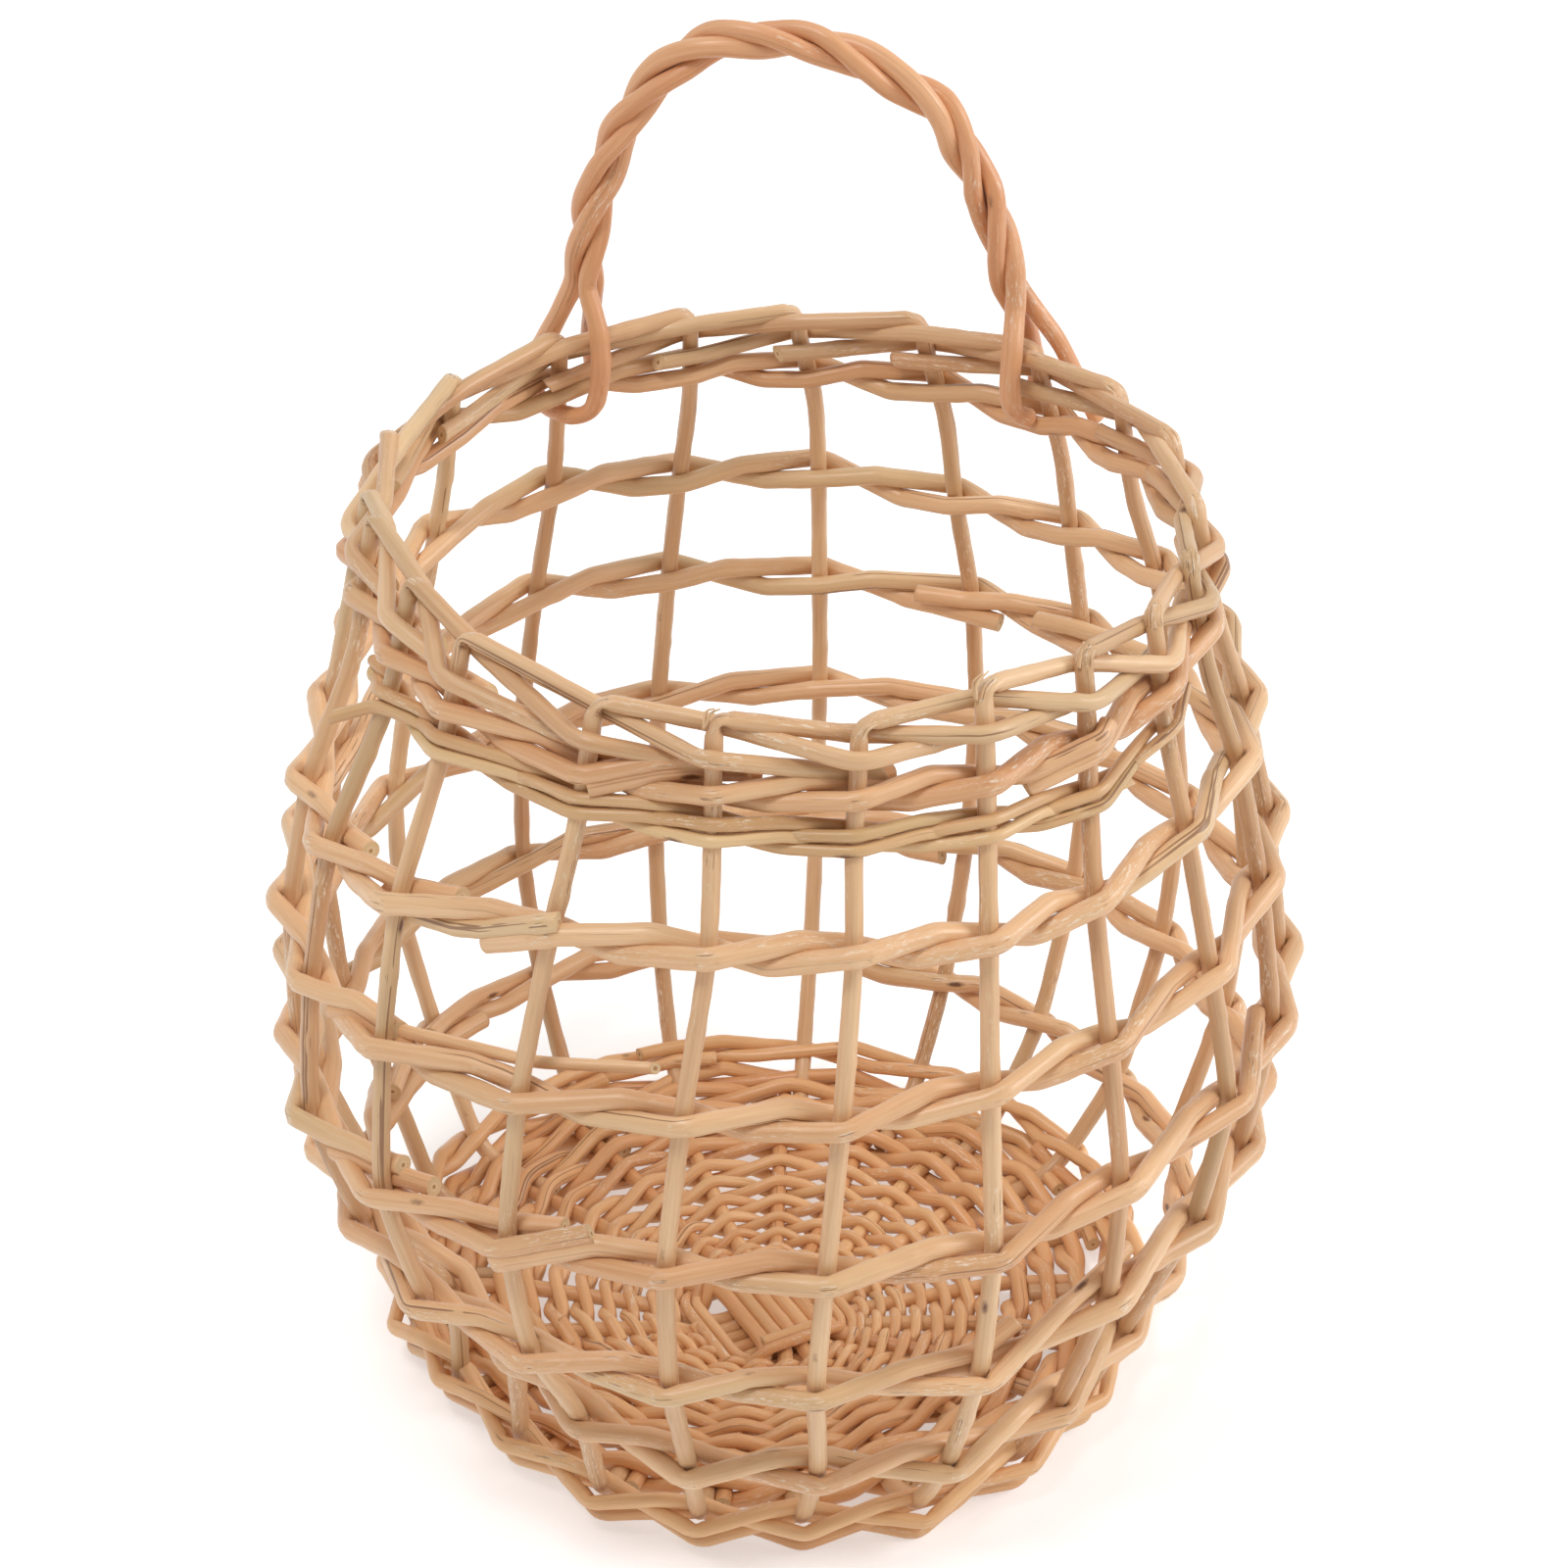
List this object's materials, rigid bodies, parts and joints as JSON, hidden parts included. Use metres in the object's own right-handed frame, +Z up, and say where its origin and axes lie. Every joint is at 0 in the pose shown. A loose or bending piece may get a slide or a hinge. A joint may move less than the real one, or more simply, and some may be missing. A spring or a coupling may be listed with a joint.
{
  "type": "hanging rattan basket",
  "caption": "Open woven pot-shaped basket of round peeled rods with a flat woven base, a plaited border and a roped hoop handle at the back of the rim.",
  "frame": {"origin": "centre of the bounding box at the level that the base stands on", "axes": "+Z up through the mouth; the front looks along -Y and the handle stands over the back of the rim at +Y; +X to the right seen from the front"},
  "size_m": [0.1945, 0.2003, 0.2449],
  "materials": {
    "upright_rod": "peeled rod, satin, pale straw with brown nicks",
    "band_rod": "peeled rod, satin, straw with a faint green cast in places",
    "thin_rod": "thin peeled rod, satin",
    "base_rod": "peeled rod, satin, honey brown",
    "handle_rod": "peeled rod, satin, amber brown"
  },
  "bodies": {
    "root": {"upright_01": "upright_rod", "upright_02": "upright_rod", "upright_03": "upright_rod", "upright_04": "upright_rod", "upright_05": "upright_rod", "upright_06": "upright_rod", "upright_07": "upright_rod", "upright_08": "upright_rod", "upright_09": "upright_rod", "upright_10": "upright_rod", "upright_11": "upright_rod", "upright_12": "upright_rod", "upright_13": "upright_rod", "upright_14": "upright_rod", "upright_15": "upright_rod", "upright_16": "upright_rod", "upright_17": "upright_rod", "upright_18": "upright_rod", "upright_19": "upright_rod", "upright_20": "upright_rod", "upright_21": "upright_rod", "band_1_a": "band_rod", "band_1_b": "band_rod", "band_2_a": "band_rod", "band_2_b": "band_rod", "band_3_a": "band_rod", "band_3_b": "band_rod", "band_4_a": "band_rod", "band_4_b": "band_rod", "band_5_a": "band_rod", "band_5_b": "band_rod", "top_band_a": "band_rod", "top_band_b": "band_rod", "thin_row_upper_a": "thin_rod", "thin_row_upper_b": "thin_rod", "thin_row_lower_a": "thin_rod", "thin_row_lower_b": "thin_rod", "edge_round_1_a": "base_rod", "edge_round_1_b": "base_rod", "edge_round_2_a": "base_rod", "edge_round_2_b": "base_rod", "base_stick_upper_1": "base_rod", "base_stick_upper_2": "base_rod", "base_stick_upper_3": "base_rod", "base_stick_upper_4": "base_rod", "base_stick_upper_5": "base_rod", "base_stick_lower_1": "base_rod", "base_stick_lower_2": "base_rod", "base_stick_lower_3": "base_rod", "base_stick_lower_4": "base_rod", "base_stick_lower_5": "base_rod", "base_stick_lower_6": "base_rod", "base_binding_a": "base_rod", "base_binding_b": "base_rod", "base_weaver_a": "base_rod", "base_weaver_b": "base_rod", "handle_strand_1": "handle_rod", "handle_strand_2": "handle_rod", "handle_strand_3": "handle_rod"}
  },
  "joints": []
}
